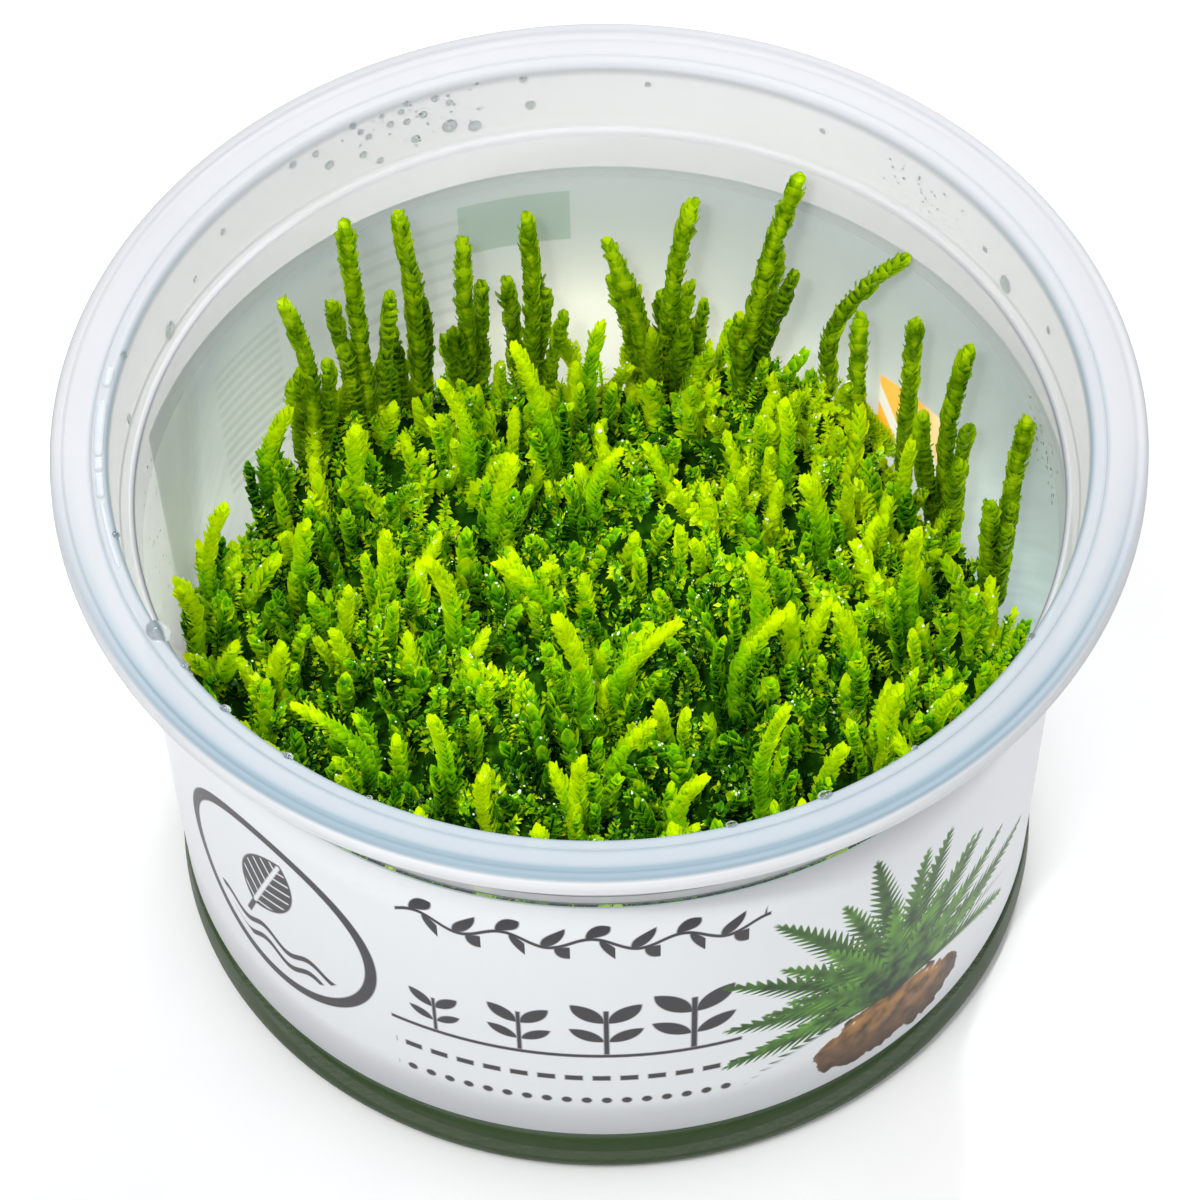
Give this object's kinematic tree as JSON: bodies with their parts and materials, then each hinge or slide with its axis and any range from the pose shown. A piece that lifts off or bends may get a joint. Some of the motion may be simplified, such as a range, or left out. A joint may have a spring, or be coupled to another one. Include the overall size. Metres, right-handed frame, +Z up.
{
  "type": "weeping moss tissue culture cup",
  "caption": "Low round milky plastic cup with a flared rim, wrapped in a printed label and filled with a bed of weeping moss on growth gel, with single shoots standing above it.",
  "frame": {"origin": "on the surface that the cup stands on, under the middle of its floor", "axes": "+Z up along the cup's axis, -Y towards the side of the label that faces the viewer in the picture, +X to that viewer's right"},
  "size_m": [0.101, 0.101, 0.06],
  "materials": {
    "cup_plastic": "milky translucent polypropylene",
    "label_film": "printed satin film",
    "growth_gel": "set clear nutrient gel, grey-green",
    "moss_bed": "dense wet moss",
    "fresh_moss": "single moss shoots, bright lime at the tips"
  },
  "bodies": {
    "root": {"cup": "cup_plastic", "label": "label_film", "growth_gel": "growth_gel", "moss_bed": "moss_bed", "shoot_01": "fresh_moss", "shoot_02": "fresh_moss", "shoot_03": "fresh_moss", "shoot_04": "fresh_moss", "shoot_05": "fresh_moss", "shoot_06": "fresh_moss", "shoot_07": "fresh_moss", "shoot_08": "fresh_moss", "shoot_09": "fresh_moss", "shoot_10": "fresh_moss", "shoot_11": "fresh_moss", "shoot_12": "fresh_moss", "shoot_13": "fresh_moss", "shoot_14": "fresh_moss", "shoot_15": "fresh_moss", "shoot_16": "fresh_moss", "shoot_17": "fresh_moss", "shoot_18": "fresh_moss", "shoot_19": "fresh_moss", "shoot_20": "fresh_moss", "shoot_21": "fresh_moss", "shoot_22": "fresh_moss", "shoot_23": "fresh_moss", "shoot_24": "fresh_moss", "shoot_25": "fresh_moss", "shoot_26": "fresh_moss", "shoot_27": "fresh_moss", "shoot_28": "fresh_moss", "shoot_29": "fresh_moss", "shoot_30": "fresh_moss", "shoot_31": "fresh_moss", "shoot_32": "fresh_moss", "shoot_33": "fresh_moss", "shoot_34": "fresh_moss", "shoot_35": "fresh_moss", "shoot_36": "fresh_moss", "shoot_37": "fresh_moss", "shoot_38": "fresh_moss", "shoot_39": "fresh_moss", "shoot_40": "fresh_moss", "shoot_41": "fresh_moss", "shoot_42": "fresh_moss", "shoot_43": "fresh_moss", "shoot_44": "fresh_moss", "shoot_45": "fresh_moss", "shoot_46": "fresh_moss", "shoot_47": "fresh_moss", "shoot_48": "fresh_moss", "shoot_49": "fresh_moss", "shoot_50": "fresh_moss", "shoot_51": "fresh_moss", "shoot_52": "fresh_moss", "shoot_53": "fresh_moss", "shoot_54": "fresh_moss", "shoot_55": "fresh_moss"}
  },
  "joints": []
}
